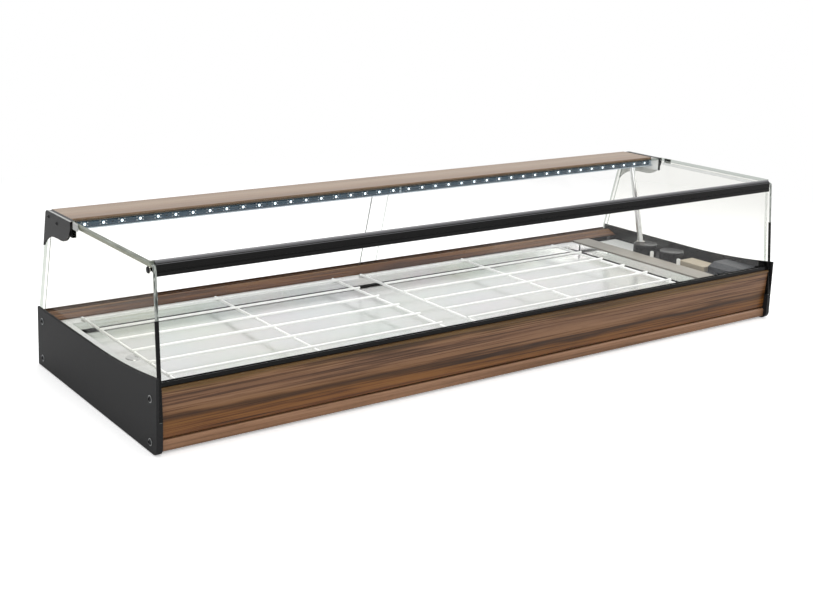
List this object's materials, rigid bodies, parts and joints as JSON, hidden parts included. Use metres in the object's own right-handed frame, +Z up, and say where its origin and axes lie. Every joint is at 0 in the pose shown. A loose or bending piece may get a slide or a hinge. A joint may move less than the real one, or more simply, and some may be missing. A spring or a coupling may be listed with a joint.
{
  "type": "refrigerated tapas display case",
  "caption": "Long countertop refrigerated display with glass front, sides and top, sliding rear doors, lit canopy, chilled well and lift-out wire grids.",
  "frame": {"origin": "middle of the footprint, on the counter", "axes": "+X along the length towards the machine end, -Y to the customer's side, +Z up"},
  "size_m": [1.41, 0.48, 0.292],
  "materials": {
    "anodised_aluminium": "satin anodised",
    "beige_plate": "moulded beige plastic",
    "beige_sheet": "powder coated sheet",
    "black_cap": "moulded black plastic",
    "black_extrusion": "smooth black extrusion",
    "black_zinc_screw": "black oxide",
    "charcoal_moulding": "fine moulded grain, satin",
    "clear_glass": "clear tempered float glass, ground edges",
    "compressor_black": "black enamel",
    "copper_tube": "drawn copper tube",
    "dark_plate": "dark grey coated plate",
    "fin_aluminium": "mill finish aluminium",
    "foot_rubber": "moulded rubber",
    "grey_panel": "dark powder coat",
    "lamp_board": "solder-masked board",
    "lamp_chip": "moulded lamp with clear lens",
    "stainless": "brushed stainless sheet",
    "walnut_laminate": "wood-grain foil on extruded panel",
    "white_clip": "white nylon",
    "white_coated_wire": "white plastic coating on wire",
    "white_foam": "polyurethane foam",
    "white_panel": "white powder coat",
    "zinc_steel": "zinc plated steel"
  },
  "bodies": {
    "case": {"base_pan": "zinc_steel", "bracket_screws": "black_zinc_screw", "cable_gland": "black_cap", "canopy_board": "walnut_laminate", "canopy_profile": "anodised_aluminium", "cheek_screws": "black_zinc_screw", "compressor": "compressor_black", "condenser": "fin_aluminium", "control_plate": "dark_plate", "deck_clips": "white_clip", "deck_rear_cover": "white_panel", "discharge_pipe": "copper_tube", "door_bottom_track": "black_extrusion", "door_top_track": "black_extrusion", "drain_spigot": "stainless", "evaporator_coil": "copper_tube", "fan_frame": "black_cap", "feet": "foot_rubber", "filter_drier": "copper_tube", "front_glass": "clear_glass", "front_panel": "walnut_laminate", "front_skirting": "walnut_laminate", "front_top_profile": "black_extrusion", "glazing_channel": "black_extrusion", "insulation": "white_foam", "lamp_driver": "beige_plate", "lamp_strip_left": "lamp_board", "lamp_strip_right": "lamp_board", "lamps": "lamp_chip", "left_cheek": "charcoal_moulding", "left_end_bracket": "black_extrusion", "left_side_glass": "clear_glass", "machine_deck": "grey_panel", "machine_partition": "beige_sheet", "profile_bolts": "black_zinc_screw", "rear_panel": "grey_panel", "rear_sill": "walnut_laminate", "relay_cap": "black_cap", "right_cheek": "charcoal_moulding", "right_end_bracket": "black_extrusion", "right_side_glass": "clear_glass", "start_capacitor": "black_cap", "switch_body": "black_cap", "thermostat": "zinc_steel", "top_glass": "clear_glass", "tube_collar": "stainless", "well": "stainless", "wiring_tube": "stainless"},
    "left_door": {"left_door": "clear_glass"},
    "right_door": {"right_door": "clear_glass"},
    "left_grid": {"left_grid": "white_coated_wire"},
    "right_grid": {"right_grid": "white_coated_wire"},
    "fan_rotor": {"fan_rotor": "black_cap"},
    "thermostat_knob": {"thermostat_knob": "black_cap"},
    "switch_rocker": {"switch_rocker": "black_cap"}
  },
  "joints": [
    {"name": "left_door_slide", "type": "slide", "parent": "case", "child": "left_door", "axis": [1, 0, 0], "range_m": [0, 0.666]},
    {"name": "right_door_slide", "type": "slide", "parent": "case", "child": "right_door", "axis": [1, 0, 0], "range_m": [-0.666, 0]},
    {"name": "left_grid_lift", "type": "slide", "parent": "case", "child": "left_grid", "axis": [0, 0, 1], "range_m": [0, 0.12]},
    {"name": "right_grid_lift", "type": "slide", "parent": "case", "child": "right_grid", "axis": [0, 0, 1], "range_m": [0, 0.12]},
    {"name": "fan_spin", "type": "hinge", "parent": "case", "child": "fan_rotor", "pos_m": [0.62, 0.19, 0.0405], "axis": [0, 1, 0], "continuous": true},
    {"name": "thermostat_turn", "type": "hinge", "parent": "case", "child": "thermostat_knob", "pos_m": [0.5, 0.23, 0.046], "axis": [0, 1, 0], "range_deg": [0, 300]},
    {"name": "switch_rock", "type": "hinge", "parent": "case", "child": "switch_rocker", "pos_m": [0.44, 0.225, 0.046], "axis": [1, 0, 0], "range_deg": [-18, 0]}
  ]
}
